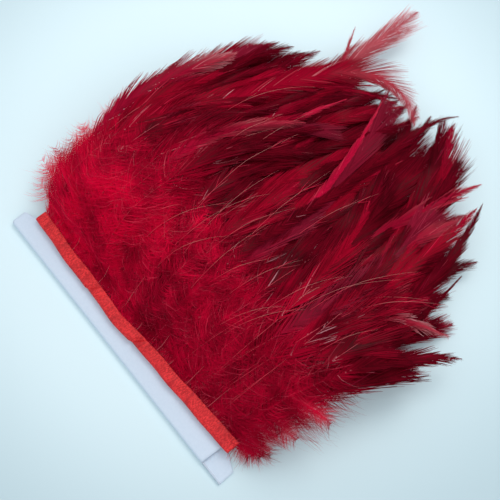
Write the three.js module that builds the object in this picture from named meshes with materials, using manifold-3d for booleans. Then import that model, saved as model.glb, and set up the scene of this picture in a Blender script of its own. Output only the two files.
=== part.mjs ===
import * as THREE from "three";
import { mergeVertices } from "three/addons/utils/BufferGeometryUtils.js";
import Module from "manifold-3d";

// Driving dimensions in millimetres, angles in degrees.
// +X runs along the ribbon, +Y is the way the feathers point and +Z is up from the surface.
// The origin is on the card's underside, below the middle of the ribbon.

const card = {
  left: -73.5,
  right: 74,
  foldY: -6.2, // the rounded fold, along the card's outer edge
  openY: 6, // the free edges of its two leaves, under the ribbon
  leaf: 0.65,
  height: 2.5, // over both leaves
  upperLeafEnd: 63, // the lower leaf goes on past this as a short tab
  tabRoot: { x: 2, y: 1 }, // how far the tab's flat lies inside that leaf, and behind the fold
  // Corners of both ends with their slanted inner corners: in from the end, in from the free edge.
  rightCorners: [[0, 13.2], [0.3, 4.4], [6.5, 1.6], [13, -1]],
  leftCorners: [[1.4, 13.2], [0, 11.2], [0, 4.8], [6.5, 2.4], [13, -1]],
};

const ribbon = {
  length: 133,
  width: 5.5, // what shows of it, folded in half over the quills
  endFlare: 0.9, // it is this much wider at its right end
  outerY: 3.1, // its fold at both ends
  bow: 2, // and how far the fold comes forward between them
  // How far the fold sits inwards of that, left and right of a stretch given in half lengths.
  shift: { left: -0.4, right: 1.25, from: -0.15, to: 0.35 },
  ripples: [{ depth: 0.16, length: 5.3, from: 0 }, { depth: 0.1, length: 2.9, from: 1 }],
  edgeRipple: { depth: 0.12, length: 7.1 },
  leaf: 0.5,
  foldRound: 0.8, // outside and inside its fold
  foldInner: 0.9,
  underside: 2.9,
  height: 2.8,
  stations: 16,
};

const strip = {
  slots: 58, // quills side by side in the ribbon
  sheets: 6, // layers that the feathers lie in, one above another
  sheetOrder: [0, 3, 1, 4, 2, 5], // sheet of each quill in turn
  startAngle: { left: -14, middle: -5, right: 9 }, // from +Y towards +X
  endAngle: { left: 26, middle: 10, right: 30 },
  turnPower: { left: 2.1, middle: 1.4, right: 1.5 }, // a feather turns more towards its tip
  angleShift: [-2.1, 0, 0.7, 2.1, -2.1, 1.4], // of each sheet
  angleSpread: 0.5,
  endShiftShare: 1.5, // the shift at the tip, as a share of that at the root
  lengthShare: [0.97, 1, 0.91, 0.98, 0.95, 0.86],
  lengthSpread: 0.055,
  widthSpread: 0.06,
  // The reach of the feathers from the ribbon, at points along it.
  reach: [[-66, 148], [-45, 160], [-25, 170], [0, 178], [20, 166], [40, 143], [55, 120], [66, 97]],
};

const quill = {
  radius: 0.6,
  height: 4.3, // of its centre inside the ribbon
  inset: 1.5, // of its butt from the ribbon's fold
};

const plume = {
  stations: 19,
  steps: 6, // of the shaft's course between two stations
  downWidth: 6.6, // half widths
  vaneWidth: 5.5,
  tipWidth: 0.35,
  downStart: 0.05, // shares of the feather's length
  downFull: 0.15,
  downEnd: 0.4,
  vaneFull: 0.52,
  taperStart: 0.7,
  taperPower: 1.7,
  downJag: 0.12, // how deep the vane's edge is notched, as a share of its width
  vaneJag: 0.1,
  downHalfThick: 1.75,
  vaneHalfThick: 0.4,
  tipHalfThick: 0.16,
  camber: 0.85, // drop of the vane's edges below its shaft
  camberWidth: 4, // half width from which that drop is full
  hookPower: 1.2,
};

// The height field that the sheets follow, from the ribbon (+Y) outwards.
const pile = {
  liftStart: 11.3,
  liftEnd: 42,
  lowestEnd: 34, // the lowest sheet is down by here
  fullEnd: 62,
  thinEnd: 116,
  downPitch: 4, // between two sheets in the down
  vanePitch: 2,
  lowestDown: 1.85, // centre of the lowest sheet
  lowestVane: 1.05,
  lowestThinEnd: 95,
  swell: { share: 0.14, x: 13, fromX: 0.8, y: 31, fromY: -0.4 }, // its waves along both axes
  gap: 0.2, // half of the clearance kept between two sheets
};

// A feather with no hook at its tip, and no rise over the others.
const plain = { hook: 0, hookFrom: 0.9, rise: 0 };

// Feathers that stray over the others, from the slot given.
const strays = [
  {
    ...plain,
    name: "feather_long",
    slot: 16,
    length: 199,
    start: -8,
    end: 4,
    power: 0.7,
    hook: -6,
    hookFrom: 0.72,
    wide: 1.05,
  },
  {
    name: "feather_hooked",
    slot: 4,
    length: 200,
    start: -12,
    end: 46,
    power: 1.05,
    hook: 86,
    hookFrom: 0.75,
    rise: 1.7,
    wide: 0.9,
  },
  {
    ...plain,
    name: "feather_curled",
    slot: 33,
    length: 175,
    start: -3,
    end: 5,
    power: 1,
    hook: 30,
    wide: 0.6,
  },
  {
    ...plain,
    name: "feather_side",
    slot: 55,
    length: 106,
    start: 9,
    end: 41,
    power: 1.6,
    wide: 0.75,
  },
];

const colours = {
  card: { color: 0xd6e0ee, roughness: 0.7, metalness: 0 },
  ribbon: { color: 0xd2303a, roughness: 0.38, metalness: 0 },
  bright: { color: 0xb50d28, roughness: 0.75, metalness: 0 },
  dark: { color: 0x6a0616, roughness: 0.55, metalness: 0 },
  mauve: { color: 0x7c2338, roughness: 0.5, metalness: 0 },
  pale: { color: 0xc65763, roughness: 0.7, metalness: 0 },
};

// Dye tones: how many of the feathers take each, in shares, and the strays by name.
const tones = {
  shares: [["dark", 0.42], ["mauve", 0.14], ["bright", 0.44]],
  feather_long: "pale",
  feather_hooked: "bright",
  feather_curled: "dark",
  feather_side: "dark",
};

const spread = { step: 0.6180339887, kind: 0.7548776662 };
const weldDistance = 1e-4;

const wasm = await Module();
wasm.setup();

const radians = (degrees) => (degrees * Math.PI) / 180;
const mix = (a, b, t) => a + (b - a) * t;
const clamp = (value) => Math.min(1, Math.max(0, value));
const ease = (from, to, value) => {
  const t = clamp((value - from) / (to - from));
  return t * t * (3 - 2 * t);
};

// An even spread of values from -1 to 1 over the feathers, a different one for each kind.
function vary(index, kind) {
  const value = index * spread.step + kind * spread.kind;
  return 2 * (value - Math.floor(value)) - 1;
}

// A value that has its own size at both ends of the ribbon and in the middle.
function across(values, share) {
  return share < 0 ? mix(values.middle, values.left, -share) : mix(values.middle, values.right, share);
}

function along(points, x) {
  const next = points.findIndex(([px]) => px > x);
  if (next === 0) return points[0][1];
  if (next < 0) return points[points.length - 1][1];
  const [x0, y0] = points[next - 1];
  const [x1, y1] = points[next];
  return mix(y0, y1, (x - x0) / (x1 - x0));
}

// Ribbon

function ribbonFold(x) {
  const end = (2 * x) / ribbon.length;
  const { left, right, from, to } = ribbon.shift;
  const straight = ribbon.outerY - ribbon.bow * (1 - end * end) + mix(left, right, ease(from, to, end));
  return ribbon.ripples.reduce(
    (y, ripple) => y + ripple.depth * Math.sin(x / ripple.length + ripple.from),
    straight,
  );
}

function ribbonWidth(x) {
  const { depth, length } = ribbon.edgeRipple;
  const flare = ribbon.endFlare * ease(0, ribbon.length / 2, x);
  return ribbon.width + flare + depth * Math.sin(x / length);
}

function ribbonSection(x) {
  const fold = ribbonFold(x);
  const edge = fold + ribbonWidth(x);
  const low = ribbon.underside;
  const high = low + ribbon.height;
  const { leaf, foldRound, foldInner } = ribbon;
  return [
    [edge, low + leaf],
    [fold + foldRound, low + leaf],
    [fold + leaf, low + foldInner],
    [fold + leaf, high - foldInner],
    [fold + foldRound, high - leaf],
    [edge, high - leaf],
    [edge, high],
    [fold + foldRound, high],
    [fold, high - foldRound],
    [fold, low + foldRound],
    [fold + foldRound, low],
    [edge, low],
  ];
}

function ribbonGeometry() {
  const rings = [];
  for (let i = 0; i <= ribbon.stations; i++) {
    const x = ribbon.length * (i / ribbon.stations - 0.5);
    rings.push(ribbonSection(x).map(([y, z]) => [x, y, z]));
  }
  const section = ribbonSection(0).map(([y, z]) => new THREE.Vector2(y, z));
  const cap = THREE.ShapeUtils.triangulateShape(section, []);
  return loft(rings, cap);
}

// Joins rings of points into one closed surface. The cap's triangles close the two ends.
function loft(rings, cap) {
  const count = rings[0].length;
  const last = (rings.length - 1) * count;
  const index = [];
  for (let r = 0; r < rings.length - 1; r++) {
    for (let i = 0; i < count; i++) {
      const a = r * count + i;
      const b = r * count + ((i + 1) % count);
      index.push(a, b, b + count, a, b + count, a + count);
    }
  }
  for (const [a, b, c] of cap) {
    index.push(a, c, b);
    index.push(last + a, last + b, last + c);
  }
  return outward(rings.flat(2), index);
}

// A geometry of these points, with its faces turned outwards.
function outward(points, index) {
  let volume = 0;
  const at = (i) => new THREE.Vector3(...points.slice(3 * i, 3 * i + 3));
  for (let i = 0; i < index.length; i += 3) {
    volume += at(index[i]).dot(at(index[i + 1]).cross(at(index[i + 2])));
  }
  if (volume < 0) index.reverse();
  const geometry = new THREE.BufferGeometry();
  geometry.setAttribute("position", new THREE.Float32BufferAttribute(points, 3));
  geometry.setIndex(index);
  return geometry;
}

// Card

function solid(geometry) {
  const bare = geometry.clone();
  bare.deleteAttribute("normal");
  bare.deleteAttribute("uv");
  const merged = mergeVertices(bare, weldDistance);
  return new wasm.Manifold(
    new wasm.Mesh({
      numProp: 3,
      vertProperties: merged.attributes.position.array,
      triVerts: new Uint32Array(merged.index.array),
    }),
  );
}

function geometryOf(made) {
  const mesh = made.getMesh();
  const geometry = new THREE.BufferGeometry();
  geometry.setAttribute("position", new THREE.BufferAttribute(mesh.vertProperties, 3));
  geometry.setIndex(new THREE.BufferAttribute(mesh.triVerts, 1));
  return geometry;
}

// The folded strip's section: two leaves joined by a round fold, open towards the feathers.
function foldedSection() {
  const middle = card.height / 2;
  const inner = middle - card.leaf;
  const turnY = card.foldY + middle;
  const shape = new THREE.Shape();
  shape.moveTo(card.openY, 0);
  shape.lineTo(turnY, 0);
  shape.absarc(turnY, middle, middle, -Math.PI / 2, Math.PI / 2, true);
  shape.lineTo(card.openY, card.height);
  shape.lineTo(card.openY, card.height - card.leaf);
  shape.lineTo(turnY, card.height - card.leaf);
  shape.absarc(turnY, middle, inner, Math.PI / 2, -Math.PI / 2, false);
  shape.lineTo(card.openY, card.leaf);
  shape.closePath();
  return shape;
}

function cardOutline() {
  const corner = (x, y) => new THREE.Vector2(x, card.openY - y);
  const right = card.rightCorners.map(([x, y]) => corner(card.right - x, y));
  const left = card.leftCorners.map(([x, y]) => corner(card.left + x, y));
  return new THREE.Shape([...right, ...left.reverse()]);
}

function cardGeometry() {
  const stripLength = card.upperLeafEnd - card.left;
  const folded = new THREE.ExtrudeGeometry(foldedSection(), {
    depth: stripLength,
    bevelEnabled: false,
    curveSegments: 5,
  });
  folded.rotateX(Math.PI / 2);
  folded.rotateZ(Math.PI / 2);
  folded.translate(card.left, 0, 0);
  const tabX = card.upperLeafEnd - card.tabRoot.x;
  const tabY = card.foldY + card.tabRoot.y;
  const tab = new THREE.BoxGeometry(card.right - tabX, card.openY - tabY, card.leaf);
  tab.translate((card.right + tabX) / 2, (card.openY + tabY) / 2, card.leaf / 2);
  const outline = new THREE.ExtrudeGeometry(cardOutline(), {
    depth: 2 * card.height,
    bevelEnabled: false,
  });
  outline.translate(0, 0, -card.height / 2);
  const strip = solid(folded).add(solid(tab));
  return geometryOf(strip.intersect(solid(outline)));
}

// Feathers

// Height between two neighbouring sheets at this distance from the ribbon.
function sheetPitch(x, y) {
  const lift = clamp((y - pile.liftStart) / (pile.liftEnd - pile.liftStart));
  const rise = 1 - (1 - lift) * (1 - lift);
  const full = mix(pile.downPitch, pile.vanePitch, ease(pile.fullEnd, pile.thinEnd, y));
  const { share, x: lengthX, fromX, y: lengthY, fromY } = pile.swell;
  const swell = 1 + share * Math.sin(x / lengthX + fromX) * Math.cos(y / lengthY + fromY);
  return full * rise * swell;
}

function sheetHeight(level, x, y) {
  const down = mix(quill.height, pile.lowestDown, ease(pile.liftStart, pile.lowestEnd, y));
  const lowest = mix(down, pile.lowestVane, ease(pile.fullEnd, pile.lowestThinEnd, y));
  return lowest + level * sheetPitch(x, y);
}

function halfWidth(t) {
  const down = mix(quill.radius, plume.downWidth, ease(plume.downStart, plume.downFull, t));
  const vane = mix(down, plume.vaneWidth, ease(plume.downEnd, plume.vaneFull, t));
  const taper = clamp((t - plume.taperStart) / (1 - plume.taperStart));
  return mix(vane, plume.tipWidth, Math.pow(taper, plume.taperPower));
}

function halfThick(t) {
  const down = mix(quill.radius, plume.downHalfThick, ease(plume.downStart, plume.downFull, t));
  const vane = mix(down, plume.vaneHalfThick, ease(plume.downEnd, plume.vaneFull, t));
  return mix(vane, plume.tipHalfThick, ease(plume.taperStart, 1, t));
}

function angleAt(feather, t) {
  const turn = mix(feather.start, feather.end, Math.pow(t, feather.power));
  const hook = clamp((t - feather.hookFrom) / (1 - feather.hookFrom));
  return radians(turn + feather.hook * Math.pow(hook, plume.hookPower));
}

// The shaft's course over the surface, as points of x, y and heading. The first stretch is the
// quill's straight part inside the ribbon, and the others share the rest of the length evenly.
function featherPath(feather) {
  let x = feather.rootX;
  let y = ribbonFold(x) + quill.inset;
  const covered = (pile.liftStart - y) / Math.cos(radians(feather.start)) / feather.length;
  const path = [{ x, y, angle: angleAt(feather, 0), t: 0 }];
  for (let station = 1; station <= plume.stations; station++) {
    const from = path[station - 1].t;
    const to = mix(covered, 1, (station - 1) / (plume.stations - 1));
    const piece = ((to - from) * feather.length) / plume.steps;
    for (let i = 0; i < plume.steps; i++) {
      const angle = angleAt(feather, mix(from, to, (i + 0.5) / plume.steps));
      x += piece * Math.sin(angle);
      y += piece * Math.cos(angle);
    }
    path.push({ x, y, angle: angleAt(feather, to), t: to });
  }
  return path;
}

// A shaft with a vane on each side: four corners at each station, and a point at the tip.
function featherGeometry(feather) {
  const rings = [];
  const path = featherPath(feather);
  path.forEach(({ x, y, angle, t }, i) => {
    const room = sheetPitch(x, y) / 2 - pile.gap;
    const isQuill = t < plume.downStart || room < quill.radius;
    const thick = isQuill ? quill.radius : Math.min(halfThick(t), room);
    const wide = isQuill ? quill.radius : halfWidth(t) * feather.wide;
    const bent = plume.camber * ease(plume.downFull, plume.vaneFull, t);
    const droop = isQuill ? 0 : bent * clamp(wide / plume.camberWidth);
    const jag = t < plume.downEnd ? plume.downJag : plume.vaneJag;
    const side = (i + feather.index) % 2 ? 1 : -1;
    const left = isQuill ? wide : wide * (1 + side * jag);
    const right = isQuill ? wide : wide * (1 - side * jag);
    const place = (across, up) => {
      const px = x + across * Math.cos(angle);
      const py = y - across * Math.sin(angle);
      return [px, py, sheetHeight(feather.level + feather.rise * t * t, px, py) + up];
    };
    rings.push([place(-left, -droop), place(0, thick), place(right, -droop), place(0, -thick)]);
  });
  return loft(rings, [[0, 1, 3], [1, 2, 3]]);
}

function strungFeathers() {
  const pitch = ribbon.length / strip.slots;
  const taken = new Map(strays.map((stray) => [stray.slot, stray]));
  const feathers = [];
  let index = 0;
  for (let slot = 0; slot < strip.slots; slot++) {
    const rootX = (slot + 0.5) * pitch - ribbon.length / 2;
    const stray = taken.get(slot);
    if (stray) {
      feathers.push({ ...stray, rootX, level: strip.sheets, index: slot });
      continue;
    }
    const level = strip.sheetOrder[index % strip.sheets];
    const share = (2 * rootX) / ribbon.length;
    const shift = strip.angleShift[level] + strip.angleSpread * vary(index, 1);
    const short = strip.lengthSpread * (1 + vary(index, 2));
    index += 1;
    feathers.push({
      ...plain,
      name: "feather_" + String(index).padStart(2, "0"),
      rootX,
      level,
      index,
      length: along(strip.reach, rootX) * strip.lengthShare[level] * (1 - short),
      start: across(strip.startAngle, share) + shift,
      end: across(strip.endAngle, share) + strip.endShiftShare * shift,
      power: across(strip.turnPower, share),
      wide: 1 + strip.widthSpread * vary(index, 3),
    });
  }
  return feathers;
}

function toneOf(feather) {
  if (tones[feather.name]) return tones[feather.name];
  let rest = (1 + vary(feather.index, 4)) / 2;
  for (const [tone, share] of tones.shares) {
    if (rest < share) return tone;
    rest -= share;
  }
  return "bright";
}

function add(group, name, geometry, finish) {
  const mesh = new THREE.Mesh(geometry, new THREE.MeshStandardMaterial(finish));
  mesh.name = name;
  group.add(mesh);
}

const trim = new THREE.Group();
add(trim, "card", cardGeometry(), colours.card);
add(trim, "ribbon", ribbonGeometry(), colours.ribbon);
for (const feather of strungFeathers()) {
  add(trim, feather.name, featherGeometry(feather), colours[toneOf(feather)]);
}

export default trim;
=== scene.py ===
import math
import random

import bpy
import numpy as np
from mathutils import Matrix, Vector


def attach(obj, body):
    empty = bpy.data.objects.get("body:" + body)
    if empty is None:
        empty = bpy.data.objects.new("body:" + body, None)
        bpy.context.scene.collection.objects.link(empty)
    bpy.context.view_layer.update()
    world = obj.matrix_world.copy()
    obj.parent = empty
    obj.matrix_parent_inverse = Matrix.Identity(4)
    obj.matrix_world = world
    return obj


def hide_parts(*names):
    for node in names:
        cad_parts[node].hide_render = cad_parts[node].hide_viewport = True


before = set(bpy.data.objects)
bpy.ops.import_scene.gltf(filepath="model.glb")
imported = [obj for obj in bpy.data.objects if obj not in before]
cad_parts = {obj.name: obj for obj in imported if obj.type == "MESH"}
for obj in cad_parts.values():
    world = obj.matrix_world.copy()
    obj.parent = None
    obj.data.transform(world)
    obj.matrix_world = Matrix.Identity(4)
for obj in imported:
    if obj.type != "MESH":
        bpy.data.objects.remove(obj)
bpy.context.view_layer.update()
mm = 0.001

# lengths are in millimetres and headings in degrees, as in the part's source. Numbers that go straight
# into nodes, lights and the floor are in metres and radians
print("frame loaded, nodes:", len(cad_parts))


# small sums

def mix(a, b, t):
    return a + (b - a) * t


def clamp(value):
    return min(1.0, max(0.0, value))


def ease(start, end, value):
    t = clamp((value - start) / (end - start))
    return t * t * (3 - 2 * t)


def vary(index, kind):
    value = index * 0.6180339887 + kind * 0.7548776662
    return 2 * (value - math.floor(value)) - 1


def across(values, share):
    if share < 0:
        return mix(values["middle"], values["left"], -share)
    return mix(values["middle"], values["right"], share)


def along(points, x):
    return float(np.interp(x, [p[0] for p in points], [p[1] for p in points]))


# the lie of the feathers, the same as in the solids

strip = {
    "slots": 58,
    "sheets": 6,
    "sheetOrder": [0, 3, 1, 4, 2, 5],
    "startAngle": {"left": -14, "middle": -5, "right": 9},
    "endAngle": {"left": 26, "middle": 10, "right": 30},
    "turnPower": {"left": 2.1, "middle": 1.4, "right": 1.5},
    "angleShift": [-2.1, 0, 0.7, 2.1, -2.1, 1.4],
    "angleSpread": 0.5,
    "lengthShare": [0.97, 1, 0.91, 0.98, 0.95, 0.86],
    "lengthSpread": 0.055,
    "reach": [(-66, 148), (-45, 160), (-25, 170), (0, 178), (20, 166), (40, 143), (55, 120), (66, 97)],
    "length": 133,
    "turnX": 66,  # how far out the headings reach their left and right values
}

pile = {
    "liftStart": 11.3,
    "liftEnd": 42,
    "fullEnd": 62,
    "thinEnd": 116,
    "downPitch": 4,
    "vanePitch": 2,
    "lowestDown": 1.85,
    "lowestVane": 1.05,
    "swell": 0.14,
}

ribbonLine = {"fold": 3.1, "bow": 2, "shift": (-0.4, 1.25), "shown": 5.5, "widening": 0.9}

plain = {"hook": 0, "hookFrom": 0.9, "rise": 0}

strays = [
    {**plain, "name": "feather_long", "slot": 16, "length": 199, "start": -8, "end": 4, "power": 0.7,
     "hook": -6, "hookFrom": 0.72, "wide": 1.1, "tone": "pale", "finish": "blush", "taperStart": 0.86,
     "looseness": 0.05, "leanTip": 0.3},
    {**plain, "name": "feather_hooked", "slot": 4, "length": 200, "start": -12, "end": 46, "power": 1.05,
     "hook": 86, "hookFrom": 0.75, "rise": 1.7, "wide": 1.35, "tone": "bright", "finish": "faded",
     "taperStart": 0.8, "looseness": 0.1, "leanTip": 0.44},
    {**plain, "name": "feather_curled", "slot": 33, "length": 175, "start": -3, "end": 5, "power": 1,
     "hook": 30, "wide": 0.6, "tone": "dark"},
    {**plain, "name": "feather_side", "slot": 55, "length": 106, "start": 9, "end": 41, "power": 1.6,
     "wide": 0.75, "tone": "dark"},
]

toneShares = [("dark", 0.42), ("mauve", 0.14), ("bright", 0.44)]


# a place along the ribbon, as a share of the way to the left (-1) or the right (1)
def sideShare(x):
    return clamp(abs(x) / strip["turnX"]) * (1 if x > 0 else -1)


def ribbonFold(x):
    end = 2 * x / strip["length"]
    bow = ribbonLine["bow"] * (1 - end * end)
    shift = mix(*ribbonLine["shift"], ease(-0.15, 0.35, end))
    return ribbonLine["fold"] - bow + shift + 0.16 * math.sin(x / 5.3) + 0.1 * math.sin(x / 2.9 + 1)


def ribbonWidth(x):
    wider = ribbonLine["widening"] * ease(0, strip["length"] / 2, x)
    return ribbonLine["shown"] + wider + 0.12 * math.sin(x / 7.1)


def sheetPitch(x, y):
    lift = clamp((y - pile["liftStart"]) / (pile["liftEnd"] - pile["liftStart"]))
    rise = 1 - (1 - lift) * (1 - lift)
    full = mix(pile["downPitch"], pile["vanePitch"], ease(pile["fullEnd"], pile["thinEnd"], y))
    return full * rise * (1 + pile["swell"] * math.sin(x / 13 + 0.8) * math.cos(y / 31 - 0.4))


def sheetHeight(level, x, y):
    down = mix(4.3, pile["lowestDown"], ease(pile["liftStart"], 34, y))
    lowest = mix(down, pile["lowestVane"], ease(pile["fullEnd"], 95, y))
    return lowest + level * sheetPitch(x, y)


def courseAngle(feather, t):
    turn = mix(feather["start"], feather["end"], t ** feather["power"])
    hook = clamp((t - feather["hookFrom"]) / (1 - feather["hookFrom"]))
    return math.radians(turn + feather["hook"] * hook ** 1.2)


# points of a feather's shaft from the ribbon to its tip: place, the way up, share of the length
def shaftCourse(feather, steps=84):
    x = feather["rootX"]
    y = feather.get("rootY", ribbonFold(x) + 1.5)
    points = []
    for i in range(steps + 1):
        t = i / steps
        level = feather["level"] + feather["rise"] * t * t
        z = sheetHeight(level, x, y)
        slopeX = (sheetHeight(level, x + 1, y) - sheetHeight(level, x - 1, y)) / 2
        slopeY = (sheetHeight(level, x, y + 1) - sheetHeight(level, x, y - 1)) / 2
        up = Vector((-slopeX, -slopeY, 1)).normalized()
        points.append((Vector((x, y, z)), up, t))
        piece = feather["length"] / steps
        angle = courseAngle(feather, (i + 0.5) / steps)
        x += piece * math.sin(angle)
        y += piece * math.cos(angle)
    return points


def toneOf(feather):
    rest = (1 + vary(feather["index"], 4)) / 2
    for tone, share in toneShares:
        if rest < share:
            return tone
        rest -= share
    return "bright"


def strungFeathers():
    pitch = strip["length"] / strip["slots"]
    taken = {stray["slot"]: stray for stray in strays}
    feathers = []
    index = 0
    for slot in range(strip["slots"]):
        rootX = (slot + 0.5) * pitch - strip["length"] / 2
        if slot in taken:
            feathers.append({**taken[slot], "rootX": rootX, "level": strip["sheets"], "index": slot})
            continue
        level = strip["sheetOrder"][index % strip["sheets"]]
        share = 2 * rootX / strip["length"]
        shift = strip["angleShift"][level] + strip["angleSpread"] * vary(index, 1)
        short = strip["lengthSpread"] * (1 + vary(index, 2))
        index += 1
        feather = {
            **plain,
            "name": "feather_%02d" % index,
            "rootX": rootX,
            "level": level,
            "index": index,
            "length": along(strip["reach"], rootX) * strip["lengthShare"][level] * (1 - short),
            "start": across(strip["startAngle"], share) + shift,
            "end": across(strip["endAngle"], share) + 1.5 * shift,
            "power": across(strip["turnPower"], share),
            "wide": 1 + 0.06 * vary(index, 3),
        }
        feather["tone"] = toneOf(feather)
        feathers.append(feather)
    return feathers


# node sums

# a socket of a node tree, so that a sum in the script makes the nodes for it
class Wire:
    def __init__(self, tree, socket):
        self.tree = tree
        self.socket = socket
        self.isVector = socket.type == "VECTOR"

    def __add__(self, other):
        return sumOf(self.tree, "ADD", self, other)

    __radd__ = __add__

    def __sub__(self, other):
        return sumOf(self.tree, "SUBTRACT", self, other)

    def __rsub__(self, other):
        return sumOf(self.tree, "SUBTRACT", other, self)

    def __mul__(self, other):
        return sumOf(self.tree, "MULTIPLY", self, other)

    __rmul__ = __mul__

    def __truediv__(self, other):
        return sumOf(self.tree, "DIVIDE", self, other)

    def __pow__(self, other):
        return sumOf(self.tree, "POWER", self, other)

    def sin(self):
        return sumOf(self.tree, "SINE", self)

    def cos(self):
        return sumOf(self.tree, "COSINE", self)


def plug(tree, socket, value):
    if isinstance(value, Wire):
        tree.links.new(value.socket, socket)
    elif isinstance(value, bpy.types.NodeSocket):
        tree.links.new(value, socket)
    elif value is not None:
        socket.default_value = value


def sumOf(tree, operation, *values):
    vectors = [isinstance(v, (tuple, Vector)) or (isinstance(v, Wire) and v.isVector) for v in values]
    if any(vectors):
        node = tree.nodes.new("ShaderNodeVectorMath")
        if operation == "MULTIPLY" and not all(vectors):
            node.operation = "SCALE"
            values = values if vectors[0] else values[::-1]
            plug(tree, node.inputs[0], values[0])
            plug(tree, node.inputs["Scale"], values[1])
            return Wire(tree, node.outputs["Vector"])
        node.operation = operation
    else:
        node = tree.nodes.new("ShaderNodeMath")
        node.operation = operation
    for socket, value in zip(node.inputs, values):
        plug(tree, socket, value)
    isNumber = operation in ("DOT_PRODUCT", "LENGTH", "DISTANCE")
    return Wire(tree, node.outputs["Value" if isNumber and any(vectors) else 0])


def smooth(tree, value, fromMin, fromMax, toMin=0.0, toMax=1.0):
    node = tree.nodes.new("ShaderNodeMapRange")
    node.interpolation_type = "SMOOTHSTEP"
    for socket, number in zip(node.inputs, (value, fromMin, fromMax, toMin, toMax)):
        plug(tree, socket, number)
    return Wire(tree, node.outputs["Result"])


def step(tree, kind, settings=None, output=0, **inputs):
    node = tree.nodes.new(kind)
    for key, value in (settings or {}).items():
        setattr(node, key, value)
    for key, value in inputs.items():
        plug(tree, node.inputs[key.replace("_", " ")], value)
    return Wire(tree, node.outputs[output])


def named(tree, name, kind="FLOAT"):
    return step(tree, "GeometryNodeInputNamedAttribute", {"data_type": kind}, Name=name)


def keep(tree, geometry, name, value, kind="FLOAT"):
    return step(tree, "GeometryNodeStoreNamedAttribute", {"data_type": kind, "domain": "POINT"},
                Geometry=geometry, Name=name, Value=value)


def isOver(tree, a, b):
    return step(tree, "FunctionNodeCompare", {"data_type": "FLOAT", "operation": "GREATER_THAN"}, A=a, B=b)


def noise(tree, where, scale, detail, output="Fac"):
    return step(tree, "ShaderNodeTexNoise", None, output, Vector=where, Scale=scale, Detail=detail)


def partsOf(tree, vector):
    node = step(tree, "ShaderNodeSeparateXYZ", Vector=vector).socket.node
    return [Wire(tree, node.outputs[i]) for i in range(3)]


socketKinds = {float: "Float", int: "Int", tuple: "Color"}


# inputs holds each input's first value, or a word for its kind where it has none
def newTree(name, kind, inputs, outputs):
    tree = bpy.data.node_groups.new(name, kind)
    for label, value in inputs.items():
        word = value if isinstance(value, str) else socketKinds[type(value)]
        socket = tree.interface.new_socket(label, in_out="INPUT", socket_type="NodeSocket" + word)
        if word is not value:
            socket.default_value = value
    for label, word in outputs.items():
        tree.interface.new_socket(label, in_out="OUTPUT", socket_type="NodeSocket" + word)
    entry = tree.nodes.new("NodeGroupInput")
    leave = tree.nodes.new("NodeGroupOutput")
    return tree, {o.name: Wire(tree, o) for o in entry.outputs if o.name}, leave


def addObject(name, data):
    made = bpy.data.objects.new(name, data)
    bpy.context.scene.collection.objects.link(made)
    return made


# barbs

# how far a barb may differ from its neighbours
barbHabit = {
    "sideShift": 3.7,  # moves the noise on one side of a shaft, so that its two sides differ
    "leanSpread": 0.35,
    "bendSpread": 0.25,
    "tipNarrowing": 0.85,
    "rootTwist": 0.3,
    "curlSpread": 0.35,
    "kinkSize": 0.0022,
    "kinkSpread": 3,
    "luckSeed": 71,
}


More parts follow.
